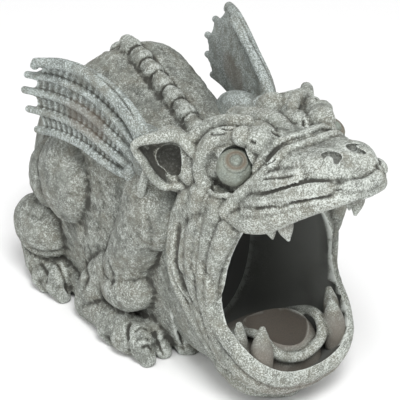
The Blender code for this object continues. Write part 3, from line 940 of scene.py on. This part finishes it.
class GARGOYLE_OT_mouth(bpy.types.Operator):
    """Models the tongue and the teeth"""
    bl_idname = "gargoyle.mouth"
    bl_label = "Tongue and teeth"

    def execute(self, context):
        clay = Clay()
        clay.loft(TONGUE, TONGUE_SQUARENESS)
        for side in SIDES:
            clay.roll(mirrored(TONGUE_EDGE, side))
            for tooth in TEETH:
                clay.roll(mirrored(tooth, side))
        piece = pressed("mouth", clay, settings().wing_grain, 2)
        cut(piece, (ground(), scoop()))
        pale = [mirrored(line, side) for line in (TONGUE_EDGE, *TEETH) for side in SIDES]
        away = gap_from(piece, pale) - 5
        wet = np.maximum(trough_stain(piece), np.clip(away / 6, 0, 0.75))
        record_relief(piece, np.minimum(away * 2, 5), wet)
        finish_piece(piece, stone("mouth_stone"))
        return {"FINISHED"}


class GARGOYLE_OT_eyes(bpy.types.Operator):
    """Models the eyeballs with their raised rings"""
    bl_idname = "gargoyle.eyes"
    bl_label = "Eyes"

    def execute(self, context):
        material = stone("eye_stone", (0.95, 1, 0.98), 0.35)
        for side, name in zip(SIDES, ("eye_right", "eye_left")):
            gaze = Vector((side * EYE_GAZE[0], *EYE_GAZE[1:]))
            turn = gaze.to_track_quat("Z", "Y").to_matrix().to_4x4()
            shape = bmesh.new()
            bmesh.ops.create_uvsphere(shape, u_segments=72, v_segments=110, radius=EYE_RADIUS * MM)
            wide = []
            for corner in shape.verts:
                off = math.hypot(corner.co.x, corner.co.y) / MM
                wide.append(off if corner.co.z > 0 else 2 * EYE_RADIUS)
                corner.co *= 1 + sum(height * math.exp(-(((off - ring) / width) ** 4))
                                     for ring, width, height in EYE_RINGS
                                     if corner.co.z > 0) / EYE_RADIUS
            bmesh.ops.transform(shape, verts=shape.verts, matrix=Matrix.Translation(
                at(side * EYE_CENTRE[0], *EYE_CENTRE[1:])) @ turn)
            piece = object_from(name, shape)
            brown = np.exp(-((np.array(wide) - 6.6) / 1.6) ** 2)
            record_relief(piece, stain=0.75 * brown)
            finish_piece(piece, material)
        return {"FINISHED"}


CAMERA_TARGET = (-36.5, -30, 161)
CAMERA_ANGLES = (-35.94, 29.19)
CAMERA_DISTANCE = 1522.3
CAMERA_VIEW = 12
SENSOR_WIDTH = 36
SKY_STRENGTH = 0.68
# The lamps: name, place in metres, size in metres, power in watts.
LAMPS = (("key", (-0.7, -1.4, 2.4), 0.9, 60), ("fill", (-1.9, -0.7, 0.9), 1.8, 10))


class GARGOYLE_OT_stage(bpy.types.Operator):
    """Sets the plain floor, the soft lights and the camera"""
    bl_idname = "gargoyle.stage"
    bl_label = "Floor, lights and camera"

    def execute(self, context):
        shape = bmesh.new()
        bmesh.ops.create_grid(shape, x_segments=1, y_segments=1, size=30)
        floor = object_from("floor", shape)
        paint = bpy.data.materials.new("floor_paint")
        paint.use_nodes = True
        shader = paint.node_tree.nodes["Principled BSDF"]
        shader.inputs["Base Color"].default_value = (*settings().floor, 1)
        shader.inputs["Roughness"].default_value = 0.9
        floor.data.materials.append(paint)
        world = bpy.data.worlds.new("studio")
        world.use_nodes = True
        sky = world.node_tree.nodes["Background"]
        sky.inputs["Color"].default_value = (1, 1, 1, 1)
        sky.inputs["Strength"].default_value = SKY_STRENGTH
        context.scene.world = world
        context.scene.view_settings.view_transform = "Standard"
        for name, place, size, power in LAMPS:
            lamp = bpy.data.lights.new(name, "AREA")
            lamp.size = size
            lamp.energy = power
            stand = bpy.data.objects.new(name, lamp)
            stand.location = place
            aim = Vector((0, 0, 0.1)) - stand.location
            stand.rotation_euler = aim.to_track_quat("-Z", "Y").to_euler()
            context.scene.collection.objects.link(stand)
        turn, rise = (math.radians(v) for v in CAMERA_ANGLES)
        back = Vector((math.sin(turn) * math.cos(rise), -math.cos(turn) * math.cos(rise),
                       math.sin(rise)))
        lens = bpy.data.cameras.new("camera")
        camera = bpy.data.objects.new("camera", lens)
        camera.location = at(*CAMERA_TARGET) + back * CAMERA_DISTANCE * MM
        camera.rotation_euler = (-back).to_track_quat("-Z", "Y").to_euler()
        lens.sensor_width = SENSOR_WIDTH
        lens.lens = SENSOR_WIDTH / 2 / math.tan(math.radians(CAMERA_VIEW / 2))
        lens.clip_end = 100
        context.scene.collection.objects.link(camera)
        context.scene.camera = camera
        return {"FINISHED"}


class GARGOYLE_PT_panel(bpy.types.Panel):
    """Lists the steps that make the gargoyle"""
    bl_label = "Gargoyle"
    bl_idname = "GARGOYLE_PT_panel"
    bl_space_type = "VIEW_3D"
    bl_region_type = "UI"
    bl_category = "Gargoyle"

    def draw(self, context):
        for name in GargoyleSettings.__annotations__:
            self.layout.prop(context.scene.gargoyle, name)
        for step in STEPS:
            self.layout.operator(step.bl_idname)


STEPS = (GARGOYLE_OT_head, GARGOYLE_OT_mouth, GARGOYLE_OT_eyes, GARGOYLE_OT_body,
         GARGOYLE_OT_wings, GARGOYLE_OT_stage)
CLASSES = (GargoyleSettings, *STEPS, GARGOYLE_PT_panel)


def register():
    for item in CLASSES:
        bpy.utils.register_class(item)
    bpy.types.Scene.gargoyle = bpy.props.PointerProperty(type=GargoyleSettings)


def unregister():
    del bpy.types.Scene.gargoyle
    for item in reversed(CLASSES):
        bpy.utils.unregister_class(item)


def main():
    register()
    for step in STEPS:
        group, name = step.bl_idname.split(".")
        getattr(getattr(bpy.ops, group), name)()


if __name__ == "__main__":
    main()
